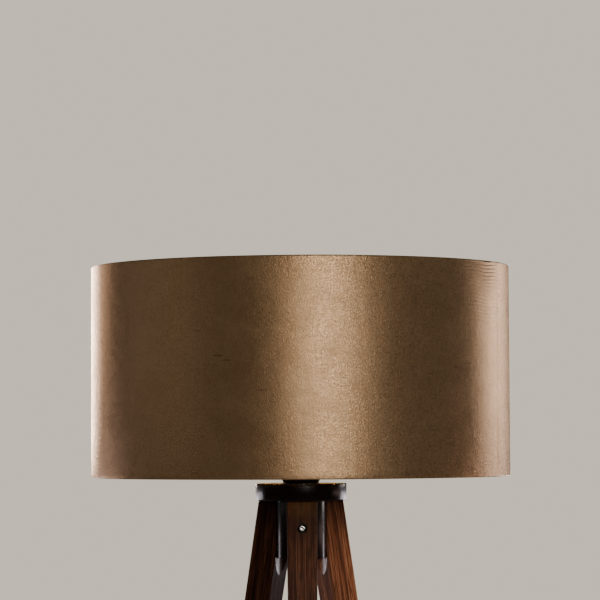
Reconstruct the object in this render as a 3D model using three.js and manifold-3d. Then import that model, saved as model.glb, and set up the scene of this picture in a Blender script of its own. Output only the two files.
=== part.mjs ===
// A tripod floor lamp: three splayed, tapered wooden legs bolted to a turned wooden hub, a round
// wooden top plate, a screw-shell lampholder with its bulb, and a fabric drum shade whose
// three-armed wire fitter is clamped on the lampholder.
// Millimetres, +Z up. The lamp's axis is Z, the floor is z = 0 and the front leg points to -Y.
import * as THREE from 'three';
import { mergeVertices } from 'three/addons/utils/BufferGeometryUtils.js';
import Module from 'manifold-3d';

const wasm = await Module();
wasm.setup();

// ---- driving dimensions ------------------------------------------------------------------

const GAP = 0.3;                  // clearance between pieces that rest on each other
const DEGREE = Math.PI / 180;

// Flats in a full turn of each kind of round piece.
const SHADE_FACETS = 60;
const HUB_FACETS = 36;
const HOLDER_FACETS = 30;
const TUBE_FACETS = 16;
const ROD_FACETS = 12;
const BULB_FACETS = 24;

const TOTAL_HEIGHT = 1450;
const SHADE_RADIUS = 250;
const SHADE_HEIGHT = 250;
const SHADE_BOTTOM = TOTAL_HEIGHT - SHADE_HEIGHT;
const FABRIC = 0.9;               // thickness of the velvet with its backing
const FILM = 0.8;                 // thickness of the stiff lining panel
const HEM_INNER_RADIUS = 242.8;
const HEM_DEPTH = 14;
const SHADE_WIRE = 1.8;           // radius of the shade's steel wire
const SHADE_RING_RADIUS = 246;    // to the middle of the wire
const ARM_AZIMUTHS = [90, 210, 330];

const PLATE_RADIUS = 54.5;
const PLATE_THICKNESS = 20;
const PLATE_TOP = 1192;
const PLATE_BOTTOM = PLATE_TOP - PLATE_THICKNESS;
const PLATE_EDGE_RADIUS = 1.6;

const HUB_RADIUS = 29.8;
const HUB_TOP = PLATE_BOTTOM - GAP;
const HUB_BOTTOM = 1103;

const LEG_AZIMUTHS = { leg_front: -90, leg_back_right: 30, leg_back_left: 150 };
const LEG_SPLAY = 9.7 * DEGREE;
const LEG_HEAD_REACH = 48.6;      // outer face from the lamp's axis, at the plate's underside
const LEG_TOP = { width: 36, depth: 34 };
const LEG_FOOT = { width: 20, depth: 25 };
const LEG_EDGE_RADIUS = 1.5;
const LEG_SPARE = 12;             // blank beyond each trimmed end

const GLIDE_RADIUS = 8;
const GLIDE_THICKNESS = 3;
const GLIDE_PIN_RADIUS = 2;
const GLIDE_PIN_TOP = 14;

const BOLT_HEIGHT = 1139.6;
const BOLT_RADIUS = 3;            // M6 socket-head bolt
const BOLT_TIP = 13;              // distances along the bolt are from the lamp's axis
const BOLT_HEAD_SEAT = 46.8;
const BOLT_HEAD_END = 52.3;
const BOLT_HEAD_RADIUS = 5;
const COUNTERBORE_RADIUS = 6.3;
const COUNTERBORE_SEAT = 45;
const INSERT_RADIUS = 4.5;
const INSERT_INNER = 15.3;
const INSERT_OUTER = 29.3;
const DOWEL_HEIGHT = 1117.6;
const DOWEL_RADIUS = 4;
const DOWEL_INNER = 17.5;
const DOWEL_OUTER = 44.5;

const TUBE_RADIUS = 5;            // M10 threaded tube
const TUBE_BORE = 4;
const TUBE_BOTTOM = 1092.7;
const TUBE_TOP = 1202;
const TUBE_CLEARANCE = TUBE_RADIUS + GAP;

const HOLDER_BASE = PLATE_TOP + GAP;   // lampholder and bulb heights count from here
const COLLAR_RADIUS = 19.75;           // threaded collar that the clamp ring screws on
const FITTER_LOW = 30.3;
const FITTER_HIGH = 31.5;
const FITTER_RADIUS = 28.5;
const TERMINAL = { reach: 10.5, length: 7, width: 8.4, low: 9, high: 18 };
const BULB_RADIUS = 30;
const BULB_CENTRE = 99.8;
const BULB_NECK = 12.1;
const GLASS = 1;

// ---- finishes ----------------------------------------------------------------------------

const WALNUT = { color: 0x2b1710, roughness: 0.25, metalness: 0 };
const EBONISED = { color: 0x140d0b, roughness: 0.15, metalness: 0 };
const BEECH = { color: 0xc8a070, roughness: 0.6, metalness: 0 };
const STEEL = { color: 0xb9bbbd, roughness: 0.3, metalness: 1 };
const BRASS = { color: 0xc09a4a, roughness: 0.3, metalness: 1 };
const WHITE_WIRE = { color: 0xe6e3dc, roughness: 0.45, metalness: 0 };
const BLACK_PLASTIC = { color: 0x0d0d0e, roughness: 0.35, metalness: 0 };
const CERAMIC = { color: 0xe9e6df, roughness: 0.3, metalness: 0 };
const FELT_BLACK = { color: 0x18181a, roughness: 0.9, metalness: 0 };
const VELVET = { color: 0x7a6650, roughness: 0.85, metalness: 0 };
const GOLD_FILM = { color: 0xc8a25a, roughness: 0.35, metalness: 0.8 };
const CLEAR_GLASS = { color: 0xf7f3ea, roughness: 0.05, transparent: true, opacity: 0.35 };
const FILAMENT = { color: 0xf2c860, roughness: 0.5, metalness: 0 };

// ---- solid modelling helpers -------------------------------------------------------------

// A closed geometry as a solid that can be cut and joined.
function solid(geometry) {
  const bare = geometry.index ? geometry.toNonIndexed() : geometry.clone();
  bare.deleteAttribute('normal');
  bare.deleteAttribute('uv');
  const merged = mergeVertices(bare, 1e-4);
  return new wasm.Manifold(new wasm.Mesh({
    numProp: 3,
    vertProperties: new Float32Array(merged.attributes.position.array),
    triVerts: new Uint32Array(merged.index.array),
  }));
}

// The solid's surface as a geometry.
function surface(body) {
  const mesh = body.getMesh();
  const geometry = new THREE.BufferGeometry();
  geometry.setAttribute('position', new THREE.BufferAttribute(mesh.vertProperties, 3));
  geometry.setIndex(new THREE.BufferAttribute(mesh.triVerts, 1));
  geometry.computeVertexNormals();
  return geometry;
}

// The first geometry with all the others cut out of it.
function carved(blank, cutters) {
  return surface(cutters.reduce((body, cutter) => body.subtract(solid(cutter)), solid(blank)));
}

// All the geometries joined into one body.
function joined(pieces) {
  return surface(pieces.map(solid).reduce((body, piece) => body.add(piece)));
}

// A solid of revolution about Z. The profile is a list of [radius, height] that runs up the
// outer side; one that doesn't start on the axis is closed on itself.
function turned(profile, facets) {
  const loop = profile[0][0] === 0 ? profile : [...profile, profile[0]];
  const points = loop.map(([radius, height]) => new THREE.Vector2(radius, height));
  return new THREE.LatheGeometry(points, facets).rotateX(Math.PI / 2);
}

// A flat ring or sleeve of rectangular section about Z.
function ring(inner, outer, low, high, facets) {
  return turned([[inner, low], [outer, low], [outer, high], [inner, high]], facets);
}

// A round bar along Z.
function post(radius, low, high, facets = ROD_FACETS) {
  const bar = new THREE.CylinderGeometry(radius, radius, high - low, facets);
  return bar.rotateX(Math.PI / 2).translate(0, 0, (low + high) / 2);
}

// A round bar along X at one height.
function crossbar(radius, from, to, height, facets = ROD_FACETS) {
  const bar = new THREE.CylinderGeometry(radius, radius, to - from, facets);
  return bar.rotateZ(-Math.PI / 2).translate((from + to) / 2, 0, height);
}

// A round bar from one point to another.
function strut(from, to, radius, facets = 8) {
  const along = new THREE.Vector3().subVectors(to, from);
  const bar = new THREE.CylinderGeometry(radius, radius, along.length(), facets);
  const turn = new THREE.Quaternion().setFromUnitVectors(
    new THREE.Vector3(0, 1, 0), along.clone().normalize());
  return bar.applyQuaternion(turn).translate(...from.clone().add(to).multiplyScalar(0.5));
}

// A hexagonal prism along Z with two flats facing +X and -X.
function hexagon(acrossFlats, low, high) {
  return post(acrossFlats / Math.sqrt(3), low, high, 6);
}

function box(lowX, highX, width, lowZ, highZ) {
  const block = new THREE.BoxGeometry(highX - lowX, width, highZ - lowZ);
  return block.translate((lowX + highX) / 2, 0, (lowZ + highZ) / 2);
}

function raised(profile, height) {
  return profile.map(([radius, z]) => [radius, z + height]);
}

function piece(name, geometry, finish) {
  const mesh = new THREE.Mesh(geometry, new THREE.MeshStandardMaterial(finish));
  mesh.name = name;
  return mesh;
}

// ---- tripod ------------------------------------------------------------------------------

// Distance of a leg's outer face from the lamp's axis at a height.
function legReach(height) {
  return LEG_HEAD_REACH + (PLATE_BOTTOM - height) * Math.tan(LEG_SPLAY);
}

// The leg's section at its head: the outer face lies on x = 0 and the wood reaches to -depth.
function legSection() {
  const { width, depth } = LEG_TOP;
  const r = LEG_EDGE_RADIUS;
  const half = width / 2;
  const outline = new THREE.Shape();
  outline.moveTo(-depth + r, -half);
  outline.lineTo(-r, -half);
  outline.absarc(-r, -half + r, r, -Math.PI / 2, 0);
  outline.lineTo(0, half - r);
  outline.absarc(-r, half - r, r, 0, Math.PI / 2);
  outline.lineTo(-depth + r, half);
  outline.absarc(-depth + r, half - r, r, Math.PI / 2, Math.PI);
  outline.lineTo(-depth, -half + r);
  outline.absarc(-depth + r, -half + r, r, Math.PI, 1.5 * Math.PI);
  return outline;
}

// A straight blank that tapers from the head to the foot, then leans in towards the axis.
function legBlank() {
  const slant = 1 / Math.cos(LEG_SPLAY);
  const length = (PLATE_BOTTOM + 2 * LEG_SPARE) * slant;
  const blank = new THREE.ExtrudeGeometry(legSection(),
    { depth: length, steps: 1, curveSegments: 2, bevelEnabled: false });
  const point = blank.attributes.position;
  for (let i = 0; i < point.count; i += 1) {
    const rise = point.getZ(i) / length;
    const depthScale = THREE.MathUtils.lerp(LEG_FOOT.depth / LEG_TOP.depth, 1, rise);
    const widthScale = THREE.MathUtils.lerp(LEG_FOOT.width / LEG_TOP.width, 1, rise);
    point.setXY(i, point.getX(i) * depthScale, point.getY(i) * widthScale);
  }
  return blank.rotateY(-LEG_SPLAY).translate(legReach(-LEG_SPARE), 0, -LEG_SPARE);
}

// Middle of the trimmed foot, from the lamp's axis.
function footReach() {
  return legReach(GLIDE_THICKNESS) - LEG_FOOT.depth / Math.cos(LEG_SPLAY) / 2;
}

// The leg, trimmed level at both ends, hollowed to fit round the hub, and drilled for its bolt,
// its dowel and the pin of its glide.
function legGeometry() {
  const room = box(0, legReach(0), 2 * LEG_TOP.width, GLIDE_THICKNESS + GAP, HUB_TOP);
  const trimmed = surface(solid(legBlank()).intersect(solid(room)));
  return carved(trimmed, [
    post(HUB_RADIUS + GAP, HUB_BOTTOM - 60, HUB_TOP + LEG_SPARE, HUB_FACETS),
    crossbar(COUNTERBORE_RADIUS, COUNTERBORE_SEAT, COUNTERBORE_SEAT + 20, BOLT_HEIGHT, TUBE_FACETS),
    crossbar(BOLT_RADIUS + GAP, DOWEL_INNER, COUNTERBORE_SEAT + 5, BOLT_HEIGHT),
    crossbar(DOWEL_RADIUS + GAP, DOWEL_INNER, DOWEL_OUTER + GAP, DOWEL_HEIGHT),
    post(GLIDE_PIN_RADIUS + GAP, -LEG_SPARE, GLIDE_PIN_TOP + GAP).translate(footReach(), 0, 0),
  ]);
}

function glideGeometry() {
  return turned([
    [0, 0], [GLIDE_RADIUS - 1, 0], [GLIDE_RADIUS, 1], [GLIDE_RADIUS, GLIDE_THICKNESS],
    [GLIDE_PIN_RADIUS, GLIDE_THICKNESS], [GLIDE_PIN_RADIUS, GLIDE_PIN_TOP], [0, GLIDE_PIN_TOP],
  ], TUBE_FACETS).translate(footReach(), 0, 0);
}

// Turns a piece made along Z to lie along X at the bolt's height.
function onBoltAxis(geometry) {
  return geometry.rotateY(Math.PI / 2).translate(0, 0, BOLT_HEIGHT);
}

function boltGeometry() {
  const chamfer = 0.6;
  const blank = turned([
    [0, BOLT_TIP], [BOLT_RADIUS - chamfer, BOLT_TIP], [BOLT_RADIUS, BOLT_TIP + chamfer],
    [BOLT_RADIUS, BOLT_HEAD_SEAT], [BOLT_HEAD_RADIUS, BOLT_HEAD_SEAT],
    [BOLT_HEAD_RADIUS, BOLT_HEAD_END - chamfer], [BOLT_HEAD_RADIUS - chamfer, BOLT_HEAD_END],
    [0, BOLT_HEAD_END],
  ], ROD_FACETS);
  return onBoltAxis(carved(blank, [hexagon(5, BOLT_HEAD_END - 3, BOLT_HEAD_END + 1)]));
}

function washerGeometry() {
  const seat = COUNTERBORE_SEAT + GAP;
  const outer = COUNTERBORE_RADIUS - 0.5;
  return onBoltAxis(ring(BOLT_RADIUS + GAP, outer, seat, seat + 1.2, ROD_FACETS));
}

function insertGeometry() {
  const bore = BOLT_RADIUS + GAP;
  return onBoltAxis(ring(bore, INSERT_RADIUS, INSERT_INNER, INSERT_OUTER, ROD_FACETS));
}

// One leg with everything that is fitted to it, at its own azimuth.
function legStation(name, azimuth) {
  const station = new THREE.Group();
  const side = name.replace('leg_', '');
  station.add(
    piece(name, legGeometry(), WALNUT),
    piece(`glide_${side}`, glideGeometry(), FELT_BLACK),
    piece(`leg_bolt_${side}`, boltGeometry(), STEEL),
    piece(`bolt_washer_${side}`, washerGeometry(), STEEL),
    piece(`threaded_insert_${side}`, insertGeometry(), BRASS),
    piece(`dowel_${side}`, crossbar(DOWEL_RADIUS, DOWEL_INNER, DOWEL_OUTER, DOWEL_HEIGHT), BEECH),
  );
  station.rotation.z = azimuth * DEGREE;
  return station;
}

// The turned hub, bored for the tube and drilled for the inserts, bolts and dowels of the legs.
function hubGeometry() {
  const edge = 0.8;
  const blank = turned([
    [TUBE_CLEARANCE, HUB_BOTTOM], [HUB_RADIUS - edge, HUB_BOTTOM],
    [HUB_RADIUS, HUB_BOTTOM + edge], [HUB_RADIUS, HUB_TOP], [TUBE_CLEARANCE, HUB_TOP],
  ], HUB_FACETS);
  const drills = Object.values(LEG_AZIMUTHS).flatMap((azimuth) => [
    crossbar(INSERT_RADIUS + GAP, INSERT_INNER - GAP, HUB_RADIUS + 5, BOLT_HEIGHT),
    crossbar(BOLT_RADIUS + GAP, BOLT_TIP - 0.5, INSERT_INNER + 1, BOLT_HEIGHT),
    crossbar(DOWEL_RADIUS + GAP, DOWEL_INNER - 0.5, HUB_RADIUS + 5, DOWEL_HEIGHT),
  ].map((drill) => drill.rotateZ(azimuth * DEGREE)));
  return carved(blank, drills);
}

// The round top plate, with its upper and lower edges eased by a quarter round.
function plateGeometry() {
  const r = PLATE_EDGE_RADIUS;
  const easing = [0, 45, 90].map((angle) => angle * DEGREE);
  const lower = easing.map((a) => [
    PLATE_RADIUS - r + r * Math.sin(a), PLATE_BOTTOM + r - r * Math.cos(a)]);
  const upper = easing.map((a) => [
    PLATE_RADIUS - r + r * Math.cos(a), PLATE_TOP - r + r * Math.sin(a)]);
  const bore = [[TUBE_CLEARANCE, PLATE_TOP], [TUBE_CLEARANCE, PLATE_BOTTOM]];
  return turned([...lower, ...upper, ...bore], HUB_FACETS);
}

function nutGeometry(acrossFlats, low, high) {
  const bore = post(TUBE_CLEARANCE, low - 1, high + 1, TUBE_FACETS);
  return carved(hexagon(acrossFlats, low, high), [bore]);
}

// The bush that lines the tube's lower end for the cord.
function cordBushGeometry() {
  const bore = 3.1;
  const spigot = TUBE_BORE - GAP;
  const flangeTop = TUBE_BOTTOM - GAP;
  return turned([
    [bore, flangeTop - 3.9], [6.7, flangeTop - 3.9], [7.5, flangeTop - 3.1], [7.5, flangeTop],
    [spigot, flangeTop], [spigot, TUBE_BOTTOM + 7.3], [bore, TUBE_BOTTOM + 7.3],
  ], TUBE_FACETS);
}

function tripod() {
  const group = new THREE.Group();
  const washerTop = HUB_BOTTOM - GAP;
  const nutTop = washerTop - 1.5 - GAP;
  const washer = ring(TUBE_CLEARANCE, 12, washerTop - 1.5, washerTop, TUBE_FACETS);
  const tube = ring(TUBE_BORE, TUBE_RADIUS, TUBE_BOTTOM, TUBE_TOP, TUBE_FACETS);
  group.add(
    piece('hub', hubGeometry(), EBONISED),
    piece('top_plate', plateGeometry(), EBONISED),
    piece('threaded_tube', tube, STEEL),
    piece('tube_washer', washer, STEEL),
    piece('tube_nut', nutGeometry(17, nutTop - 4, nutTop), STEEL),
    piece('cord_bush', cordBushGeometry(), BLACK_PLASTIC),
  );
  for (const [name, azimuth] of Object.entries(LEG_AZIMUTHS)) {
    group.add(legStation(name, azimuth));
  }
  return group;
}

// ---- lampholder --------------------------------------------------------------------------

// The cup-shaped lower half, which flares up from the plate.
function holderCapGeometry() {
  return turned([
    [TUBE_CLEARANCE, 0], [20.8, 0], [24, 6.2], [24.4, 8.5], [24.4, 27], [22.1, 27],
    [22.1, 9.5], [20.5, 4], [TUBE_CLEARANCE, 4],
  ], HOLDER_FACETS);
}

// The upper half: a skirt inside the cap, a shoulder that the shade rests on, and the collar.
function holderSleeveGeometry() {
  return turned([
    [19.2, 12.6], [21.7, 12.6], [21.7, 27.3], [24.4, 27.3], [24.4, 30],
    [COLLAR_RADIUS, 30], [COLLAR_RADIUS, 58], [14.7, 58], [14.7, 24], [19.2, 24],
  ], HOLDER_FACETS);
}

// A ceramic disc with a pocket in its underside for each terminal.
function holderCoreGeometry() {
  const { reach, length, width, high } = TERMINAL;
  const half = length / 2 + GAP;
  const pockets = [-reach, reach].map((x) => (
    box(x - half, x + half, width + 2 * GAP, 10, high + GAP)));
  return carved(post(18.8, 12.6, 22, HOLDER_FACETS), pockets);
}

function terminalGeometry(side) {
  const { reach, length, width, low, high } = TERMINAL;
  const block = box(reach - length / 2, reach + length / 2, width, low, high);
  const hole = post(1.8, low - 1, 14).translate(reach, 0, 0);
  return carved(block, [hole]).rotateZ(side > 0 ? 0 : Math.PI);
}

function terminalScrewGeometry(side) {
  const head = { radius: 2.6, low: 7.4, high: TERMINAL.low - GAP };
  const blank = turned([
    [0, head.low], [head.radius, head.low], [head.radius, head.high], [1.5, head.high],
    [1.5, 13], [0, 13],
  ], ROD_FACETS);
  const slot = box(-4, 4, 0.8, head.low - 1, head.low + 0.6);
  return carved(blank, [slot]).translate(side * TERMINAL.reach, 0, 0);
}

// The springy tongue that presses on the bulb's tip, bent up from a flat foot.
function centreContactGeometry() {
  const outline = new THREE.Shape();
  outline.moveTo(-12, 22.3);
  outline.lineTo(-5, 22.3);
  outline.lineTo(-0.5, 24.3);
  outline.lineTo(4, 24.3);
  outline.lineTo(4, 24.9);
  outline.lineTo(-0.7, 24.9);
  outline.lineTo(-5.2, 22.9);
  outline.lineTo(-12, 22.9);
  const strip = new THREE.ExtrudeGeometry(outline, { depth: 6, bevelEnabled: false });
  return strip.rotateX(Math.PI / 2).translate(0, 3, 0);
}

// The ring that screws down on the collar over the shade's fitter, with a ribbed grip.
function clampRingGeometry() {
  const bore = COLLAR_RADIUS + 0.35;
  const grip = { radius: 24.6, low: 34, high: 40.5, ribs: 15 };
  const blank = turned([
    [bore, 31.8], [28, 31.8], [28, grip.low], [grip.radius, grip.low],
    [grip.radius, grip.high], [bore, grip.high],
  ], HOLDER_FACETS);
  const ribs = Array.from({ length: grip.ribs }, (_, i) => (
    post(0.9, grip.low - 0.5, grip.high - 0.8, 6)
      .translate(grip.radius, 0, 0)
      .rotateZ(i * 2 * Math.PI / grip.ribs)));
  return joined([blank, ...ribs]);
}

function lampholder() {
  const group = new THREE.Group();
  group.add(
    piece('holder_cap', holderCapGeometry(), BLACK_PLASTIC),
    piece('holder_lock_nut', nutGeometry(14, 4.3, 7.3), STEEL),
    piece('holder_core', holderCoreGeometry(), CERAMIC),
    piece('terminal_live', terminalGeometry(1), BRASS),
    piece('terminal_neutral', terminalGeometry(-1), BRASS),
    piece('terminal_screw_live', terminalScrewGeometry(1), STEEL),
    piece('terminal_screw_neutral', terminalScrewGeometry(-1), STEEL),
    piece('centre_contact', centreContactGeometry(), BRASS),
    piece('thread_shell', ring(13.75, 14.3, 26.2, 47, HOLDER_FACETS), BRASS),
    piece('holder_sleeve', holderSleeveGeometry(), BLACK_PLASTIC),
    piece('clamp_ring', clampRingGeometry(), BLACK_PLASTIC),
  );
  group.position.z = HOLDER_BASE;
  return group;
}

// ---- bulb --------------------------------------------------------------------------------

// One wall of the glass from the neck's mouth to the crown: a straight neck, an easy curve out
// to the globe, and the globe's arc. A wall drawn inside the outer one is inset evenly.
function glassWall(inset) {
  const neck = BULB_NECK - inset;
  const globe = BULB_RADIUS - inset;
  const meet = -20 * DEGREE;
  const joint = new THREE.Vector2(globe * Math.cos(meet), BULB_CENTRE + globe * Math.sin(meet));
  const shoulder = new THREE.CubicBezierCurve(
    new THREE.Vector2(neck, 51.5),
    new THREE.Vector2(neck, 66),
    new THREE.Vector2(joint.x + 15 * Math.sin(meet), joint.y - 15 * Math.cos(meet)),
    joint,
  ).getPoints(5);
  const bands = 6;
  const crown = Array.from({ length: bands }, (_, i) => {
    const angle = THREE.MathUtils.lerp(meet, Math.PI / 2, (i + 1) / bands);
    const radius = i + 1 === bands ? 0 : globe * Math.cos(angle);
    return [radius, BULB_CENTRE + globe * Math.sin(angle)];
  });
  return [[neck, 42], ...shoulder.map((p) => [p.x, p.y]), ...crown];
}

function bulbGlassGeometry() {
  return turned([...glassWall(GLASS).reverse(), ...glassWall(0)], BULB_FACETS);
}

// The glass stem with a star of wires that holds four light-emitting rods.
function filamentGeometry() {
  const rods = 4;
  const low = { radius: 3.5, height: 72 };
  const high = { radius: 9, height: 108 };
  const stem = turned([[0, 44], [8, 44], [3, 52], [2.4, 72.5], [0, 72.5]], ROD_FACETS);
  const mast = post(0.9, 70, 109, 8);
  const sticks = Array.from({ length: rods }, (_, i) => {
    const turn = i * 2 * Math.PI / rods;
    const at = ({ radius, height }) => new THREE.Vector3(
      radius * Math.cos(turn), radius * Math.sin(turn), height);
    const middle = ({ height }) => new THREE.Vector3(0, 0, height);
    return [
      strut(at(low), at(high), 0.9),
      strut(middle(low), at({ radius: low.radius + 0.5, height: low.height }), 0.5, 6),
      strut(middle(high), at({ radius: high.radius + 0.5, height: high.height }), 0.5, 6),
    ];
  }).flat();
  return joined([stem, mast, ...sticks]);
}

function bulb() {
  const group = new THREE.Group();
  const cone = [[0, 26.9], [5, 26.9], [11.5, 30], [0, 30]];
  group.add(
    piece('bulb_contact', post(4.5, 25.2, 26.6), STEEL),
    piece('bulb_insulator', turned(cone, TUBE_FACETS), BLACK_PLASTIC),
    piece('bulb_shell', ring(12.6, 13.2, 30.3, 51, BULB_FACETS), STEEL),
    piece('bulb_glass', bulbGlassGeometry(), CLEAR_GLASS),
    piece('bulb_filament', filamentGeometry(), FILAMENT),
  );
  group.position.z = HOLDER_BASE;
  return group;
}

// ---- shade -------------------------------------------------------------------------------

// The fabric drum, turned in over both wire rings to a hem, with a window in the lower hem
// for each arm.
function shadeCoverGeometry() {
  const outer = SHADE_RADIUS;
  const wall = outer - FABRIC;
  const hem = HEM_INNER_RADIUS;
  const blank = turned(raised([
    [hem, 0], [outer, 0], [outer, SHADE_HEIGHT], [hem, SHADE_HEIGHT],
    [hem, SHADE_HEIGHT - HEM_DEPTH], [hem + FABRIC, SHADE_HEIGHT - HEM_DEPTH],
    [hem + FABRIC, SHADE_HEIGHT - FABRIC], [wall, SHADE_HEIGHT - FABRIC],
    [wall, FABRIC], [hem + FABRIC, FABRIC], [hem + FABRIC, HEM_DEPTH], [hem, HEM_DEPTH],
  ], SHADE_BOTTOM), SHADE_FACETS);
  const windows = ARM_AZIMUTHS.map((azimuth) => (
    box(hem - 1, hem + FABRIC + 0.3, 6, SHADE_BOTTOM + FABRIC, SHADE_BOTTOM + 6)
      .rotateZ(azimuth * DEGREE)));
  return carved(blank, windows);
}

function shadePanelGeometry() {
  const outer = SHADE_RADIUS - FABRIC - GAP;
  const inset = FABRIC + GAP;
  return ring(outer - FILM, outer, SHADE_BOTTOM + inset, TOTAL_HEIGHT - inset, SHADE_FACETS);
}

// Height of a wire ring's middle above the shade's nearer rim.
const RING_INSET = FABRIC + GAP + SHADE_WIRE;

function shadeRingGeometry(height) {
  const hoop = new THREE.TorusGeometry(SHADE_RING_RADIUS, SHADE_WIRE, 6, SHADE_FACETS);
  return hoop.translate(0, 0, height);
}

// One wire arm along +X: level through the hem, then up to the fitter ring.
function armGeometry() {
  const low = SHADE_BOTTOM + RING_INSET;
  const high = HOLDER_BASE + (FITTER_LOW + FITTER_HIGH) / 2;
  const outerEnd = SHADE_RING_RADIUS - SHADE_WIRE - GAP;
  const innerEnd = FITTER_RADIUS + GAP;
  const route = new THREE.CatmullRomCurve3([
    new THREE.Vector3(outerEnd, 0, low),
    new THREE.Vector3(200, 0, low + 0.5),
    new THREE.Vector3(75, 0, high - 1.5),
    new THREE.Vector3(innerEnd, 0, high),
  ]);
  const section = new THREE.Shape().absarc(0, 0, SHADE_WIRE - 0.1, 0, 2 * Math.PI);
  return new THREE.ExtrudeGeometry(section,
    { steps: 14, curveSegments: 4, bevelEnabled: false, extrudePath: route });
}

function shade() {
  const group = new THREE.Group();
  const bore = COLLAR_RADIUS + 0.45;
  const fitter = ring(bore, FITTER_RADIUS, FITTER_LOW, FITTER_HIGH, HOLDER_FACETS);
  group.add(
    piece('shade_cover', shadeCoverGeometry(), VELVET),
    piece('shade_panel', shadePanelGeometry(), GOLD_FILM),
    piece('top_ring', shadeRingGeometry(TOTAL_HEIGHT - RING_INSET), WHITE_WIRE),
    piece('bottom_ring', shadeRingGeometry(SHADE_BOTTOM + RING_INSET), WHITE_WIRE),
    piece('fitter_ring', fitter.translate(0, 0, HOLDER_BASE), WHITE_WIRE),
  );
  ARM_AZIMUTHS.forEach((azimuth, i) => {
    const arm = piece(`shade_arm_${i + 1}`, armGeometry(), WHITE_WIRE);
    arm.rotation.z = azimuth * DEGREE;
    group.add(arm);
  });
  return group;
}

// ---- the lamp ----------------------------------------------------------------------------

const lamp = new THREE.Group();
lamp.add(tripod(), lampholder(), bulb(), shade());

export default lamp;
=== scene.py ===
# %% [markdown]
# # A tripod floor lamp with a velvet drum shade
#
# The lamp is already engineered: every leg, bolt and wire has its size and its place. This
# lesson dresses it. Each visible piece gets a fine surface that fills the engineered one
# exactly, and a finish with the grain, pile or turning marks that the real material has.
# Every length is in metres, the floor is z = 0 and the lamp's axis is the Z axis.

# %% Load the engineered lamp
import math

import bmesh
import bpy
import numpy as np
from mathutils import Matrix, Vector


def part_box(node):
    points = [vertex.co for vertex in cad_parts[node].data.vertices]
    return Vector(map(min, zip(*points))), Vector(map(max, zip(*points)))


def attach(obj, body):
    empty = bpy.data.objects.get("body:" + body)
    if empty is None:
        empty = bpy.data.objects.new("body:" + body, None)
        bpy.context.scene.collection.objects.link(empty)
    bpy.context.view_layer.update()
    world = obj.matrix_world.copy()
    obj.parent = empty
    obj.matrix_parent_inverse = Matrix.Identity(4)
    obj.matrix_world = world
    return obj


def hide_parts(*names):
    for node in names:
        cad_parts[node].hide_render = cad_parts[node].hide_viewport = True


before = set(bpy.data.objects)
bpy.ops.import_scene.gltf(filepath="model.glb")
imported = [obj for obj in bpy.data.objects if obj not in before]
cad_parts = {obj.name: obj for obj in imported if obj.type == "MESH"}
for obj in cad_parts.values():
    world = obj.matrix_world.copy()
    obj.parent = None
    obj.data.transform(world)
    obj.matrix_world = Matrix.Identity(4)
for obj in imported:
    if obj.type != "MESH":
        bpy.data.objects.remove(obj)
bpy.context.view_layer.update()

# %% [markdown]
# ## Reading sizes from the frame
#
# A maker measures the job before cutting new stock. `span` turns the box of an engineered
# piece into what a turned piece needs: its outer radius and its lowest and highest point.


# %% Measure the engineered pieces
def span(node):
    """(outer radius, lowest z, highest z) of a round piece on the lamp's axis."""
    low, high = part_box(node)
    return high.x, low.z, high.z


MM = 0.001
shade_radius, shade_low, shade_high = span("shade_cover")
plate_radius, plate_low, plate_high = span("top_plate")
hub_radius, hub_low, hub_high = span("hub")
holder_base, holder_cap_top = span("holder_cap")[1:]
print(f"shade {2 * shade_radius:.3f} m wide, {shade_high - shade_low:.3f} m tall")

# %% [markdown]
# ## The camera
#
# The lamp is seen from a few metres away through a long lens, so its uprights hardly
# converge. The eye is just above the shade's lower rim, which is why the rim looks straight
# and the upper rim shows a shallow curve. The camera stands a degree to the left of the
# front leg, so that the tripod looks slightly turned, and it leans up by three degrees.

# %% Place the camera
EYE_DISTANCE = 3.3646
EYE_ABOVE_RIM = 47.0 * MM
EYE_HEIGHT = shade_low + EYE_ABOVE_RIM
EYE_AZIMUTH = math.radians(-91.2)
EYE_TILT = math.radians(2.80)
EYE_ROLL = math.radians(-0.31)
LENS_LENGTH = 168.4


def make_camera():
    """A camera on a circle round the lamp's axis, turned to it, tilted up and then rolled
    about its own line of sight."""
    lens = bpy.data.cameras.new("studio_camera")
    lens.sensor_width = 36.0
    lens.lens = LENS_LENGTH
    lens.clip_end = 60.0
    camera = bpy.data.objects.new("studio_camera", lens)
    camera.location = (
        EYE_DISTANCE * math.cos(EYE_AZIMUTH),
        EYE_DISTANCE * math.sin(EYE_AZIMUTH),
        EYE_HEIGHT,
    )
    heading = EYE_AZIMUTH + math.radians(90.0)
    camera.rotation_euler = (math.radians(90.0) + EYE_TILT, 0.0, heading)
    bpy.context.scene.collection.objects.link(camera)
    bpy.context.scene.camera = camera
    bpy.context.view_layer.update()
    camera.matrix_world = camera.matrix_world @ camera.matrix_world.Rotation(EYE_ROLL, 4, "Z")
    return camera


camera = make_camera()
print("camera at", [round(c, 3) for c in camera.location])

# %% [markdown]
# ## Surfaces from two parameters
#
# Almost everything here is turned, bent or planed, so each new surface is a grid of points
# with one parameter along a profile and one round or along the piece. The whole grid is worked
# out at once as a numpy array. One helper makes any such grid a mesh: it joins the last column
# to the first where the surface closes, welds the points that meet at a pole, and marks an
# edge as sharp where two faces meet at a steep angle.


# %% Turn a grid of points into a mesh piece
WELD_REACH = 2e-7


def weld(mesh):
    """Merges the grid points that lie on each other, as at a pole, and drops empty faces."""
    work = bmesh.new()
    work.from_mesh(mesh)
    bmesh.ops.remove_doubles(work, verts=work.verts, dist=WELD_REACH)
    work.to_mesh(mesh)
    work.free()


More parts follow.
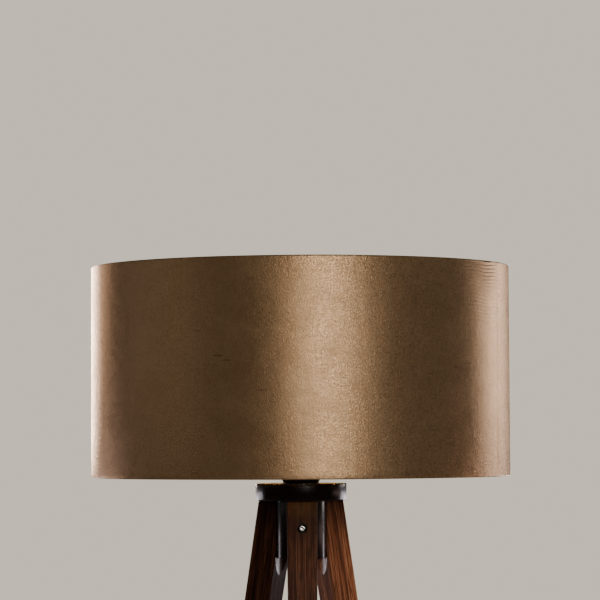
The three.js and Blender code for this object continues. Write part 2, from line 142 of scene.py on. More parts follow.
def smooth(mesh, sharp_angle=32.0):
    """Smooth shading, broken at edges where the faces turn by more than the angle."""
    mesh.polygons.foreach_set("use_smooth", np.ones(len(mesh.polygons), bool))
    mesh.set_sharp_from_angle(angle=math.radians(sharp_angle))
    mesh.update()


def grid_piece(name, points, round_columns=True, round_rows=False, sharp_angle=32.0):
    """A piece from points[row, column]: the quad of row i and column j joins the corners
    (i, j), (i, j + 1), (i + 1, j + 1) and (i + 1, j), with both counts wrapping if asked."""
    rows, columns = points.shape[:2]
    i = np.arange(rows if round_rows else rows - 1)
    j = np.arange(columns if round_columns else columns - 1)
    i, j = np.meshgrid(i, j, indexing="ij")
    up = (i + 1) % rows
    on = (j + 1) % columns
    corners = (i * columns + j, i * columns + on, up * columns + on, up * columns + j)
    quads = np.stack(corners, -1).reshape(-1, 4)
    mesh = bpy.data.meshes.new(name)
    mesh.from_pydata(points.reshape(-1, 3), [], quads)
    weld(mesh)
    smooth(mesh, sharp_angle)
    piece = bpy.data.objects.new(name, mesh)
    bpy.context.scene.collection.objects.link(piece)
    return piece


# %% [markdown]
# A lathe makes a shape from a profile: radius against height. Real edges are never knife
# sharp, so `eased` first replaces each corner of the profile with a small curve. The light
# that runs along those tiny curves is what makes a turned piece look solid.


# %% Turn a profile on the lathe
def bend(t, start, corner, end):
    """A quadratic curve from start to end, pulled towards the corner."""
    return (1 - t) ** 2 * start + 2 * t * (1 - t) * corner + t**2 * end


def eased(profile, ease, closed=True, steps=4):
    """Each corner becomes a curve that starts and ends `ease` away from it along its two
    sides, or at 45 percent of a short side."""
    corner = np.array(profile, float)
    before = np.roll(corner, 1, 0) - corner
    after = np.roll(corner, -1, 0) - corner
    long_before = np.linalg.norm(before, axis=1, keepdims=True)
    long_after = np.linalg.norm(after, axis=1, keepdims=True)
    start = corner + before / long_before * np.minimum(ease, 0.45 * long_before)
    end = corner + after / long_after * np.minimum(ease, 0.45 * long_after)
    t = np.linspace(0, 1, steps + 1)[None, :, None]
    curve = bend(t, start[:, None], corner[:, None], end[:, None])
    if closed:
        return curve.reshape(-1, 2)
    return np.concatenate([corner[:1], curve[1:-1].reshape(-1, 2), corner[-1:]])


def subdivided(profile, longest, closed=True):
    """The same profile with extra points, so that no side is longer than `longest`, which is
    one length or a length for each side."""
    corner = np.array(profile, float)
    following = np.roll(corner, -1, 0) if closed else np.vstack([corner[1:], corner[-1:]])
    length = np.linalg.norm(following - corner, axis=1)
    pieces = np.maximum(1, np.ceil(length / longest)).astype(int)
    pieces[-1] = pieces[-1] if closed else 1
    share = np.concatenate([np.arange(n) / n for n in pieces])[:, None]
    start = np.repeat(corner, pieces, axis=0)
    return start + share * (np.repeat(following, pieces, axis=0) - start)


def full_turn(steps):
    """The angles of that many equal steps round a circle, as one row."""
    return np.linspace(0, 2 * np.pi, steps, endpoint=False)[None, :]


def sides_of(profile):
    """The profile's radius and height, each as one column."""
    return profile[:, 0:1], profile[:, 1:2]


def revolve(profile, columns):
    """points[row, column] = (radius cos turn, radius sin turn, height): the profile's rows
    carried round the Z axis in equal steps."""
    turn = full_turn(columns)
    radius, height = sides_of(profile)
    return np.stack([radius * np.cos(turn), radius * np.sin(turn), height + 0 * turn], -1)


def swollen(points, proud):
    """The points moved straight out from the Z axis by `proud`, or in where it is negative:
    x and y are both multiplied by 1 + proud / radius."""
    factor = 1 + proud / np.hypot(points[..., 0], points[..., 1])
    return points * np.stack([factor, factor, np.ones_like(factor)], -1)


def turned(name, profile, ease=0.4 * MM, columns=96, closed=True):
    """A turned piece: the eased profile, revolved. A profile that isn't closed starts and
    ends on the axis."""
    points = revolve(eased(profile, ease, closed), columns)
    return grid_piece(name, points, round_rows=closed)


# %% [markdown]
# A piece is only finished when it has its material, rides on the body it belongs to, and
# stands in for the engineered node whose space it fills.


# %% Fit a piece to the lamp
def fit(piece, body, slot, material, *nodes):
    """Gives the piece its material, hides the nodes it stands for, and makes it ride on
    its body. The slot argument is not used."""
    piece.data.materials.append(material)
    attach(piece, body)
    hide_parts(*nodes)
    faces = len(piece.data.polygons)
    print(f"{piece.name}: {faces} faces on {body}")
    return piece


# %% [markdown]
# ## Finishes
#
# A finish is a small network of nodes. `add` puts in one node, and links or sets each of its
# inputs, so that a material reads from top to bottom like a recipe. All patterns are solid
# ones: they fill space, and the piece is carved out of them, so they never show a seam.


# %% Helpers for writing a finish
def add(tree, kind, inputs=None, **settings):
    """One new node. An input given as another node's output is linked, and others are set."""
    made = tree.nodes.new("ShaderNode" + kind)
    for key, value in settings.items():
        setattr(made, key, value)
    for key, value in (inputs or {}).items():
        socket = made.inputs[key]
        if isinstance(value, bpy.types.NodeSocket):
            tree.links.new(value, socket)
        else:
            socket.default_value = value
    return made


def finish_named(name, **constants):
    """A new material with its shader's constants set, as (material, tree, shader)."""
    material = bpy.data.materials.new(name)
    material.use_nodes = True
    tree = material.node_tree
    shader = tree.nodes["Principled BSDF"]
    for key, value in constants.items():
        shader.inputs[key.replace("_", " ")].default_value = value
    return material, tree, shader


def place(tree, scale=(1, 1, 1), turn=(0, 0, 0)):
    """Object coordinates, stretched and turned by a Mapping node."""
    coordinates = add(tree, "TexCoord").outputs["Object"]
    mapping = {"Vector": coordinates, "Scale": scale, "Rotation": turn}
    return add(tree, "Mapping", mapping).outputs["Vector"]


def noise(tree, vector, scale, detail=3.0, roughness=0.5, distortion=0.0):
    """Solid noise around 0.5, with about `scale` lumps to the metre."""
    inputs = {"Vector": vector, "Scale": scale, "Detail": detail}
    inputs |= {"Roughness": roughness, "Distortion": distortion}
    return add(tree, "TexNoise", inputs).outputs["Fac"]


def remap(tree, value, low, high, to_low=0.0, to_high=1.0):
    """The value's stretch from low to high, moved to to_low to to_high and held there."""
    inputs = {"Value": value, "From Min": low, "From Max": high}
    inputs |= {"To Min": to_low, "To Max": to_high}
    return add(tree, "MapRange", inputs).outputs["Result"]


def ramp(tree, value, *stops):
    """A colour ramp with a (position, (r, g, b)) for each stop."""
    made = add(tree, "ValToRGB", {"Fac": value})
    elements = made.color_ramp.elements
    while len(elements) < len(stops):
        elements.new(0.5)
    for element, (position, colour) in zip(elements, stops):
        element.position = position
        element.color = (*colour, 1.0)
    return made.outputs["Color"]


def mixed(tree, share, first, second, blend="MIX"):
    """Two colours mixed by a share: 0 gives the first and 1 the second. The node's colour
    sockets are its inputs 6 and 7, after those for plain numbers and vectors."""
    made = add(tree, "Mix", data_type="RGBA", blend_type=blend)
    for index, value in ((0, share), (6, first), (7, second)):
        if isinstance(value, bpy.types.NodeSocket):
            tree.links.new(value, made.inputs[index])
        else:
            plain = isinstance(value, float)
            made.inputs[index].default_value = value if plain else (*value, 1.0)
    return made.outputs[2]


def math_node(tree, operation, first, second):
    """One sum, product or maximum of two values."""
    return add(tree, "Math", {0: first, 1: second}, operation=operation).outputs[0]


def bump(tree, height, distance, strength=1.0, under=None):
    """A bump of that many metres, on top of another bump if one is given."""
    inputs = {"Height": height, "Distance": distance, "Strength": strength}
    if under is not None:
        inputs["Normal"] = under
    return add(tree, "Bump", inputs).outputs["Normal"]


def wire(tree, shader, **sockets):
    """Links each named socket of the shader to the output given for it."""
    for key, value in sockets.items():
        tree.links.new(value, shader.inputs[key.replace("_", " ")])


# %% [markdown]
# ### Velvet
#
# Velvet is a dense field of short upright fibres. Looked at straight on it is dark, because
# one looks down between the fibres; along their sides it shines, so every light is drawn as a
# soft vertical band on the drum, with a grainy edge where single tufts catch it.
#
# Half of the finish is metal-like, because a metal's shine takes the body's colour, as light
# does that has passed between dyed fibres. Sheen lifts the far edges. Tufts and clumps of
# them vary the colour, the roughness and a fine bump, and stand up more on one half of the
# drum, where the pile was brushed against its lie. Slow changes show where it was pressed
# while the drum was made, and a few short dark strokes show where it was touched.


# %% The velvet of the shade
VELVET_DEEP = (0.238, 0.138, 0.066)
VELVET_PALE = (0.284, 0.174, 0.090)
TUFT_TIP = (0.370, 0.250, 0.145)
CLUMP_SHADE = (0.130, 0.072, 0.034)
STROKE_SHADE = (0.050, 0.024, 0.010)


def nap_strokes(tree, lean):
    """Sparse short marks: near the middle of a few cells of a Voronoi pattern that is squeezed
    along one leaning direction, so that each mark is a thin disc and cuts the cloth in a line."""
    squeezed = place(tree, (1.0, 1.0, 9.0), (0.4, lean, 0.0))
    cells = add(tree, "TexVoronoi", {"Vector": squeezed, "Scale": 26.0})
    near = remap(tree, cells.outputs["Distance"], 0.10, 0.22, 1.0, 0.0)
    drawn = add(tree, "SeparateColor", {"Color": cells.outputs["Color"]})
    chosen = remap(tree, drawn.outputs["Red"], 0.93, 0.99, 0.0, 0.7)
    return math_node(tree, "MULTIPLY", near, chosen)


def make_velvet():
    """Body colour by how hard the pile is pressed, then tuft tips, clump shades and strokes
    over it; roughness and five bumps from the same patterns."""
    material, tree, shader = finish_named(
        "velvet_taupe_bronze",
        Metallic=0.5,
        Specular_IOR_Level=0.6,
        Specular_Tint=(1.0, 0.72, 0.50, 1.0),
        Sheen_Weight=0.25,
        Sheen_Roughness=0.30,
        Sheen_Tint=(1.0, 0.70, 0.50, 1.0),
    )
    tufts = noise(tree, place(tree), 680.0, 2.0, 0.7)
    clumps = noise(tree, place(tree), 520.0, 2.0, 0.6)
    pressed = noise(tree, place(tree), 26.0, 5.0, 0.55, 0.8)
    brushed = noise(tree, place(tree, (1.0, 1.0, 0.12)), 90.0, 3.0, 0.5)
    marks = noise(tree, place(tree, (1.0, 1.0, 1.4)), 40.0, 6.0, 0.65, 0.6)
    across = add(tree, "SeparateXYZ", {"Vector": place(tree)}).outputs["X"]
    raised = remap(tree, across, -0.04, 0.09, 0.35, 1.0)
    light_tufts = remap(tree, tufts, 0.42, 0.60)
    light_tufts = math_node(tree, "MULTIPLY", light_tufts, raised)
    dark_clumps = remap(tree, clumps, 0.36, 0.54, 0.7, 0.0)
    dark_clumps = math_node(tree, "MULTIPLY", dark_clumps, raised)
    body = mixed(tree, remap(tree, pressed, 0.3, 0.7), VELVET_DEEP, VELVET_PALE)
    body = mixed(tree, light_tufts, body, TUFT_TIP)
    body = mixed(tree, dark_clumps, body, CLUMP_SHADE)
    strokes = math_node(tree, "MAXIMUM", nap_strokes(tree, 0.5), nap_strokes(tree, -1.1))
    body = mixed(tree, strokes, body, STROKE_SHADE)
    rough = remap(tree, pressed, 0.25, 0.75, 0.22, 0.30)
    rough = math_node(tree, "ADD", rough, remap(tree, marks, 0.45, 0.85, 0.0, 0.08))
    loose = remap(tree, tufts, 0.35, 0.65, 0.14, -0.09)
    rough = math_node(tree, "ADD", rough, math_node(tree, "MULTIPLY", loose, raised))
    soft = bump(tree, pressed, 1.0 * MM, 0.35)
    soft = bump(tree, brushed, 0.35 * MM, 0.4, soft)
    soft = bump(tree, marks, 0.3 * MM, 0.3, soft)
    soft = bump(tree, clumps, 0.25 * MM, 0.30, soft)
    soft = bump(tree, tufts, 0.30 * MM, 0.8, soft)
    wire(tree, shader, Base_Color=body, Roughness=rough, Normal=soft)
    return material


velvet = make_velvet()

# %% [markdown]
# ### The lacquered woods
#
# The legs are planed from straight-grained wood, stained dark walnut and lacquered. Grain is
# a solid pattern of long fibres, so it is stretched along the leg. Each leg leans a
# different way, and so the grain reads the leg's own coordinates, which the leg carries as an
# attribute: across, through, and along. A second attribute is painted light: it says how lit
# each leg looks at each point, paler where the lights fall on it and darker at its head in the
# painted shadow of the plate and the shade, and mixes a shaded and a lit copy of the same stain.
# The thin clear lacquer is the coat of the shader.


# %% Walnut stain under clear lacquer
STREAK_SHADE = (0.010, 0.0040, 0.0026)
PORE_SHADE = (0.005, 0.0022, 0.0015)
WARM_CLOUD = (0.060, 0.026, 0.015)
# Painted light: a shaded and a lit copy of the stain, for legs that look darker or paler by how
# the light falls on them.
SHADED_CAST = (0.28, 0.24, 0.26)
LIT_CAST = (6.9, 7.05, 6.6)


def make_walnut():
    """Broad figure as a colour ramp, then streaks, pores and warm clouds over it, all from
    noise stretched along the leg; pores and figure are also the bump. Last comes painted light:
    a shaded and a lit copy of that colour, mixed by how lit the leg is painted."""
    material, tree, shader = finish_named(
        "walnut_lacquered",
        Specular_IOR_Level=0.03,
        Coat_Weight=0.22,
        Coat_Roughness=0.08,
        Coat_IOR=1.5,
    )
    leg_place = add(tree, "Attribute", attribute_name="leg_place").outputs["Vector"]

    def along_grain(scale):
        """The leg's coordinates, squeezed along the leg so that patterns run with it."""
        mapping = {"Vector": leg_place, "Scale": scale}
        return add(tree, "Mapping", mapping).outputs["Vector"]

    figure = noise(tree, along_grain((1.0, 1.0, 0.035)), 150.0, 4.0, 0.6, 0.9)
    streaks = noise(tree, along_grain((1.0, 1.0, 0.02)), 480.0, 4.0, 0.65, 0.4)
    pores = noise(tree, along_grain((1.0, 1.0, 0.04)), 1100.0, 2.0, 0.6)
    cloud = noise(tree, along_grain((1.0, 1.0, 0.3)), 14.0, 3.0)
    colour = ramp(
        tree,
        figure,
        (0.30, (0.016, 0.0068, 0.0042)),
        (0.46, (0.050, 0.017, 0.0095)),
        (0.58, (0.104, 0.042, 0.0225)),
        (0.70, (0.028, 0.0110, 0.0065)),
    )
    colour = mixed(tree, remap(tree, streaks, 0.46, 0.58, 0.0, 0.9), colour, STREAK_SHADE)
    colour = mixed(tree, remap(tree, pores, 0.52, 0.64, 0.0, 0.8), colour, PORE_SHADE)
    colour = mixed(tree, remap(tree, cloud, 0.35, 0.65, 0.0, 0.35), colour, WARM_CLOUD)
    # Painted light: the leg's painted light attribute mixes the shaded and the lit copy of the
    # stain.
    tone = add(tree, "Attribute", attribute_name="painted_leg_light").outputs["Fac"]
    dark = mixed(tree, 1.0, colour, SHADED_CAST, "MULTIPLY")
    light = mixed(tree, 1.0, colour, LIT_CAST, "MULTIPLY")
    colour = mixed(tree, tone, dark, light)
    rough = remap(tree, streaks, 0.3, 0.7, 0.26, 0.40)
    grain = bump(tree, pores, 0.10 * MM, 0.35)
    grain = bump(tree, figure, 0.15 * MM, 0.3, grain)
    wire(tree, shader, Base_Color=colour, Roughness=rough, Normal=grain)
    return material


walnut = make_walnut()

# %% [markdown]
# The hub and the round plate are stained almost black under sprayed lacquer, so little
# shows but reflections. A trace of brown grain and the faint unevenness of the spray keep
# them from looking like plastic. The hub has the heavier coat of the two.


# %% Ebony stain under sprayed lacquer
def make_ebonised(name, coat):
    """Black stain with a trace of brown grain, under a lacquer of that weight."""
    material, tree, shader = finish_named(
        name, Specular_IOR_Level=0.10, Coat_Weight=coat, Coat_Roughness=0.12, Coat_IOR=1.5)
    grain = noise(tree, place(tree, (1.0, 0.06, 1.0)), 260.0, 4.0, 0.6, 0.6)
    haze = noise(tree, place(tree), 60.0, 4.0)
    colour = ramp(
        tree,
        grain,
        (0.32, (0.004, 0.0022, 0.0024)),
        (0.6, (0.012, 0.0058, 0.005)),
        (0.75, (0.006, 0.003, 0.003)),
    )
    rough = remap(tree, haze, 0.3, 0.7, 0.18, 0.32)
    spray = bump(tree, haze, 0.04 * MM, 0.08)
    wire(tree, shader, Base_Color=colour, Roughness=rough, Normal=spray)
    return material


ebonised_plate = make_ebonised("ebonised_plate", 0.10)
ebonised_hub = make_ebonised("ebonised_hub", 0.16)

# %% [markdown]
# ### Metals, wire and small parts
#
# Turned and rolled metal carries fine rings or lines from the tool. They hardly show as
# shape, but they vary the roughness, which breaks up a highlight. Plating adds a faint tone.


# %% Plated steel, brass and gold film
def make_metal(name, colour, tone, rough_low, rough_high, lines=(1.0, 1.0, 8.0), scale=300.0):
    """Bare or plated metal: a slow change of tone, and tool lines in roughness and bump."""
    material, tree, shader = finish_named(name, Metallic=1.0)
    cloud = noise(tree, place(tree), 120.0, 3.0)
    tool = noise(tree, place(tree, lines), scale, 3.0, 0.6)
    shade = mixed(tree, remap(tree, cloud, 0.35, 0.65), colour, tone)
    rough = remap(tree, tool, 0.3, 0.7, rough_low, rough_high)
    lined = bump(tree, tool, 0.04 * MM, 0.3)
    wire(tree, shader, Base_Color=shade, Roughness=rough, Normal=lined)
    return material


plated_steel = make_metal("plated_steel", (0.52, 0.52, 0.52), (0.42, 0.42, 0.43), 0.16, 0.32)
brass = make_metal("turned_brass", (0.78, 0.53, 0.22), (0.66, 0.43, 0.16), 0.2, 0.4)
gold_film = make_metal(
    "gold_film", (0.80, 0.55, 0.24), (0.72, 0.47, 0.18), 0.30, 0.44, (1.0, 1.0, 0.5), 900.0)


# %% Coated wire, moulded plastic, ceramic, plain beech and the feet
def make_moulded(name, colour, tone, rough_low, rough_high, grain_scale, grain_depth):
    """A coated or moulded surface: two close tones, and a fine all-over texture."""
    material, tree, shader = finish_named(name, Specular_IOR_Level=0.5)
    cloud = noise(tree, place(tree), 70.0, 4.0)
    grain = noise(tree, place(tree), grain_scale, 3.0, 0.6)
    shade = mixed(tree, remap(tree, cloud, 0.3, 0.7), colour, tone)
    rough = remap(tree, grain, 0.3, 0.7, rough_low, rough_high)
    grained = bump(tree, grain, grain_depth, 0.5)
    wire(tree, shader, Base_Color=shade, Roughness=rough, Normal=grained)
    return material


white_coat = make_moulded(
    "white_powder_coat", (0.78, 0.76, 0.71), (0.72, 0.70, 0.65), 0.32, 0.5, 900.0, 0.10 * MM)
black_moulding = make_moulded(
    "black_moulding", (0.010, 0.010, 0.011), (0.016, 0.015, 0.015), 0.26, 0.42, 1400.0, 0.05 * MM)
blackened_steel = make_moulded(
    "blackened_steel", (0.030, 0.029, 0.028), (0.045, 0.043, 0.041), 0.5, 0.65, 900.0, 0.05 * MM)
ceramic = make_moulded(
    "white_ceramic", (0.80, 0.77, 0.70), (0.74, 0.70, 0.63), 0.14, 0.26, 500.0, 0.05 * MM)
foot_plastic = make_moulded(
    "black_foot", (0.018, 0.018, 0.019), (0.030, 0.029, 0.028), 0.5, 0.7, 1000.0, 0.10 * MM)
beech = make_moulded(
    "plain_beech", (0.58, 0.38, 0.21), (0.50, 0.31, 0.16), 0.5, 0.7, 700.0, 0.10 * MM)


# %% Glass and the glowing rods
def make_glass():
    """Clear blown glass: a slow ripple in its shape and a trace of it in the roughness."""
    material, tree, shader = finish_named(
        "clear_glass", Transmission_Weight=1.0, IOR=1.45, Base_Color=(0.99, 0.985, 0.97, 1.0))
    ripple = noise(tree, place(tree), 40.0, 2.0)
    rough = remap(tree, ripple, 0.3, 0.7, 0.0, 0.03)
    wire(tree, shader, Roughness=rough, Normal=bump(tree, ripple, 0.1 * MM, 0.3))
    return material


def make_phosphor():
    """Yellow phosphor speckled in two tones, which also glows."""
    material, tree, shader = finish_named(
        "phosphor_rods", Emission_Color=(1.0, 0.72, 0.38, 1.0), Emission_Strength=6.0)
    speck = noise(tree, place(tree), 900.0, 3.0)
    colour = mixed(tree, speck, (0.86, 0.58, 0.16), (0.95, 0.72, 0.30))
    wire(tree, shader, Base_Color=colour, Roughness=remap(tree, speck, 0.3, 0.7, 0.4, 0.6))
    return material


clear_glass = make_glass()
phosphor = make_phosphor()
print(len(bpy.data.materials), "finishes")

# %% [markdown]
# ## The drum shade
#
# ### The velvet cover
#
# The real cover is a strip of velvet laminated to a stiff film, rolled into a drum and lapped
# at one vertical seam; its edges are turned in over the wire rings and glued down as hems.
# Here one profile does all of that: it runs up the outside, over the upper wire, down the
# upper hem and back inside the cloth's own thickness. Carried round the axis it becomes the
# cloth. The radius is then varied a little: a low step at the lap, the slight unevenness of
# glued cloth, and short ripples near the upper rim where the cloth was pulled over the wire.

# %% Shape the velvet cover
COVER_COLUMNS = 420
CLOTH = 0.9 * MM
HEM_REACH = 7.2 * MM
HEM_DEPTH = 14.0 * MM
RIM_EASE = 1.3 * MM
RIPPLED = 70.0 * MM
RIPPLE_PITCH = 4.2 * MM
RIPPLE_DEPTH = 0.38 * MM
RIPPLE_FADE = 50.0 * MM
WAVE_DEPTH = 0.10 * MM
LAP_AZIMUTH = math.radians(-24.5)
LAP_STEP = 0.55 * MM
LAP_FADE = 0.09
LAP_RIDGE = 0.35 * MM
LAP_RIDGE_SPREAD = 0.006
RIPPLES_MIDDLE = -0.11
RIPPLES_SPREAD = 0.16


def cover_profile():
    """The cloth's section as a closed loop: the outside, the upper hem, the inside, the
    lower hem."""
    outer, low, high = shade_radius, shade_low, shade_high
    hem = outer - HEM_REACH
    wall = outer - CLOTH
    outside = [(outer, low), (outer, high - RIPPLED), (outer, high)]
    folded = hem + CLOTH
    upper = [(hem, high), (hem, high - HEM_DEPTH), (folded, high - HEM_DEPTH)]
    inside = [(folded, high - CLOTH), (wall, high - CLOTH), (wall, low + CLOTH)]
    lower = [(folded, low + CLOTH), (folded, low + HEM_DEPTH), (hem, low + HEM_DEPTH)]
    return outside + upper + inside + lower + [(hem, low)]


def cloth_relief(azimuth, height):
    """How far the cloth stands proud: the lap's step, which fades over a hand's width, the
    slow waves of glued cloth, and ripples that die away below the upper rim and to both
    sides of their middle. All angles are in radians. The signed angle past the lap is the
    angle of the complex number that turns by it."""
    past_lap = np.angle(np.exp(1j * (azimuth - LAP_AZIMUTH)))
    step = LAP_STEP * (past_lap > 0) * np.exp(-((past_lap / LAP_FADE) ** 2))
    ridge = LAP_RIDGE * np.exp(-((past_lap / LAP_RIDGE_SPREAD) ** 2))
    slow = np.sin(5 * azimuth + 9 * height)
    slower = 0.6 * np.sin(11 * azimuth - 14 * height + 1.3)
    near_rim = np.exp(-((shade_high - height) / RIPPLE_FADE) ** 2)
    near_lap = np.exp(-((past_lap - RIPPLES_MIDDLE) / RIPPLES_SPREAD) ** 2)
    phase = 2 * np.pi * height / RIPPLE_PITCH + 1.2 * np.sin(31 * azimuth) + 6 * azimuth
    ripples = RIPPLE_DEPTH * near_rim * near_lap * np.sin(phase)
    return step + ridge + WAVE_DEPTH * (slow + slower) + ripples


def make_cover():
    """The cloth's section revolved, with the relief added to its radius on the outside. The
    rows are closest where the ripples are, and widest inside."""
    profile = eased(cover_profile(), RIM_EASE, steps=5)
    outside = profile[:, 0] > shade_radius - 0.1 * MM
    rippled = outside & (profile[:, 1] > shade_high - RIPPLED)
    longest = np.where(rippled, 0.8 * MM, np.where(outside, 5 * MM, 16 * MM))
    profile = subdivided(profile, longest)
    radius, height = sides_of(profile)
    on_outside = np.clip((radius - (shade_radius - 1.6 * CLOTH)) / (0.6 * CLOTH), 0, 1)
    relief = cloth_relief(full_turn(COVER_COLUMNS), height)
    points = swollen(revolve(profile, COVER_COLUMNS), on_outside * relief)
    return grid_piece("shade_velvet", points, round_rows=True, sharp_angle=60.0)


cover = fit(make_cover(), "shade", "velvet", velvet, "shade_cover")

# %% [markdown]
# ### The lining and the wires
#
# Behind the velvet is a stiff panel with a gold film inside, which keeps the drum round and
# throws the light up and down. Two wire rings hold its edges, and three wire arms carry the
# small ring that sits on the lampholder. A wire is a circle carried along its centre line.


# %% Shape the lining panel and the wire rings
PANEL_WALL = 0.8 * MM
WIRE_SIDES = 14


def make_lining():
    """A thin wall, closed at both edges."""
    outer, low, high = span("shade_panel")
    inner = outer - PANEL_WALL
    profile = subdivided([(inner, low), (outer, low), (outer, high), (inner, high)], 12 * MM)
    return grid_piece("shade_lining", revolve(profile, 240), round_rows=True)


def make_hoop(name, node):
    """A ring of round wire: a circle of points revolved round the axis. The engineered wire
    is six-sided, so its height is the square root of three times its radius."""
    outer, low, high = span(node)
    thick = (high - low) / math.sqrt(3)
    turn = full_turn(WIRE_SIDES)[0]
    across = outer - thick + thick * np.cos(turn)
    up = (low + high) / 2 + thick * np.sin(turn)
    section = np.stack([across, up], -1)
    return grid_piece(name, revolve(section, 240), round_rows=True, sharp_angle=80.0)


fit(make_lining(), "shade", "gold_film", gold_film, "shade_panel")
fit(make_hoop("upper_wire", "top_ring"), "shade", "white_wire", white_coat, "top_ring")
fit(make_hoop("lower_wire", "bottom_ring"), "shade", "white_wire", white_coat, "bottom_ring")


# %% Shape the arms and the fitter ring
ARM_WIRE = 1.7 * MM
ARM_BEND_REACH = 0.232
ARM_BEND_LENGTH = 0.175
FITTER_BORE = 20.2 * MM


def smoothstep(value):
    """0 up to 0, 1 from 1 on, with a smooth rise between."""
    held = np.clip(value, 0, 1)
    return held * held * (3 - 2 * held)


def make_arm(number, azimuth):
    """A wire from the lower ring to the fitter: its height rises smoothly from the level
    outer stretch to the level inner end, and its section is a circle across its path."""
    outer, low, high = span("fitter_ring")
    ring_outer, ring_low, ring_high = span("bottom_ring")
    reach = np.linspace(ring_outer - 3.9 * MM, outer + 0.3 * MM, 60)
    level = (ring_low + ring_high) / 2
    rise = smoothstep((ARM_BEND_REACH - reach) / ARM_BEND_LENGTH)
    height = level + rise * ((low + high) / 2 - level)
    slope = np.arctan2(np.gradient(height), np.gradient(reach))
    turn = full_turn(WIRE_SIDES)
    swell = np.ones(60)
    swell[[0, -1]] = 0.0
    side = ARM_WIRE * swell[:, None] * np.cos(turn)
    lift = ARM_WIRE * swell[:, None] * np.sin(turn)
    along = reach[:, None] - lift * np.sin(slope)[:, None]
    up = height[:, None] + lift * np.cos(slope)[:, None]
    x = along * math.cos(azimuth) - side * math.sin(azimuth)
    y = along * math.sin(azimuth) + side * math.cos(azimuth)
    return grid_piece(f"wire_arm_{number}", np.stack([x, y, up], -1), sharp_angle=60.0)


for number, azimuth in enumerate((90, 210, 330), 1):
    arm = make_arm(number, math.radians(azimuth))
    fit(arm, "shade", "white_wire", white_coat, f"shade_arm_{number}")


def make_fitter():
    """A flat ring with eased edges, which drops over the lampholder's collar."""
    outer, low, high = span("fitter_ring")
    inner = FITTER_BORE
    return turned("shade_fitter", [(inner, low), (outer, low), (outer, high), (inner, high)])


fit(make_fitter(), "shade", "white_wire", white_coat, "fitter_ring")

# %% [markdown]
# ## The tripod
#
# ### Plate and hub
#
# Both are turned, so each is one profile. The plate's side is upright above and curves in a
# little below, so its two ends mirror the low lights in a patch that fades upwards.

# %% Turn the plate and the hub
BORE = 5.3 * MM
SIDE_EASE = 0.8 * MM
DRAWN_IN = 1.2 * MM
CURVED_PART = 13 * MM


def make_plate():
    """A disc whose side is upright above and curves in slightly below: its radius falls with
    the square of the depth."""
    outer, low, high = plate_radius, plate_low, plate_high
    depth = np.linspace(1, 0, 12)
    start = low + SIDE_EASE
    side = [(outer - DRAWN_IN * a**2, start + CURVED_PART * (1 - a)) for a in depth]
    profile = [(BORE, low), (outer - 1.7 * MM, low), *side, (outer, high), (BORE, high)]
    return turned("round_plate", profile, SIDE_EASE)


def make_hub():
    """A bored cylinder with eased edges."""
    outer, low, high = hub_radius, hub_low, hub_high
    profile = [(BORE, low), (outer, low), (outer, high), (BORE, high)]
    return turned("turned_hub", profile, 0.9 * MM)


fit(make_plate(), "tripod", "ebonised", ebonised_plate, "top_plate")
fit(make_hub(), "tripod", "ebonised", ebonised_hub, "hub")

# %% [markdown]
# ### Legs
#
# A leg is planed to a tapering rectangle with eased corners, leans out, and is hollowed at
# its head to fit round the hub, so that the hollow runs out as a tongue below it. Level
# slices make this easy to work out: in each one the leg's outer face is a straight line, the
# inner face is either a straight line or the hub's circle, whichever lies further out, and
# the corners are small curves. The two ends close on a point in the middle of the slice.
# The holes are drilled last, with a boolean cut, as on the bench.

# %% The leg's driving sizes
LEG_AZIMUTHS = {"front": -90, "back_right": 30, "back_left": 150}
SPLAY = math.radians(9.7)
HEAD_REACH = 48.6 * MM
HEAD_SECTION = np.array([36.0, 34.0]) * MM
FOOT_SECTION = np.array([20.0, 25.0]) * MM
SLEEVE_RADIUS = hub_radius + 0.3 * MM
LEG_EASE = 1.4 * MM
HOLLOW_LIMIT = 60.0 * MM
RUNOUT_START = 43.0 * MM
foot_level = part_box("leg_front")[0].z
head_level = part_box("leg_front")[1].z


def outer_reach(z):
    """Distance of the leg's outer face from the lamp's axis: a straight line in height."""
    return HEAD_REACH + (plate_low - z) * math.tan(SPLAY)


# %% Work out the level slices of a leg
def inner_reach(z, y):
    """The inner face: the tapering plane, or the hub's sleeve where that lies further out."""
    rise = (z - foot_level) / (head_level - foot_level)
    depth = (FOOT_SECTION[1] + rise * (HEAD_SECTION[1] - FOOT_SECTION[1])) / math.cos(SPLAY)
    sleeve = np.sqrt(np.maximum(SLEEVE_RADIUS**2 - y**2, 0))
    above = z > hub_low - HOLLOW_LIMIT
    return np.maximum(outer_reach(z) - depth, np.where(above, sleeve, 0))


def half_slice(z, ease):
    """The slice's outline from the middle of the outer face to the middle of the inner one,
    on the side where y is positive, as x and y for each height."""
    rise = (z - foot_level) / (head_level - foot_level)
    half = (FOOT_SECTION[0] + rise * (HEAD_SECTION[0] - FOOT_SECTION[0])) / 2
    out = outer_reach(z)
    t = np.linspace(0, 1, 7)[None, :]
    inner_ease = 0.7 * ease
    face_y = np.linspace(0, 1, 6, endpoint=False)[None, :] * (half - ease)
    face_x = out + 0 * face_y
    corner_x = bend(t, out, out, out - ease)
    corner_y = bend(t, half - ease, half, half)
    arris = inner_reach(z, half)
    side = np.linspace(0, 1, 9)[None, 1:-1]
    side_x = (out - ease) + side * ((arris + inner_ease) - (out - ease))
    side_y = half + 0 * side_x
    turn_x = bend(t, arris + inner_ease, arris, inner_reach(z, half - inner_ease))
    turn_y = bend(t, half, half, half - inner_ease)
    back_y = (half - inner_ease) * np.linspace(1, 0, 13)[None, 1:]
    back_x = inner_reach(z, back_y)
    x = np.concatenate([face_x, corner_x, side_x, turn_x, back_x], 1)
    y = np.concatenate([face_y, corner_y, side_y, turn_y, back_y], 1)
    return x, y


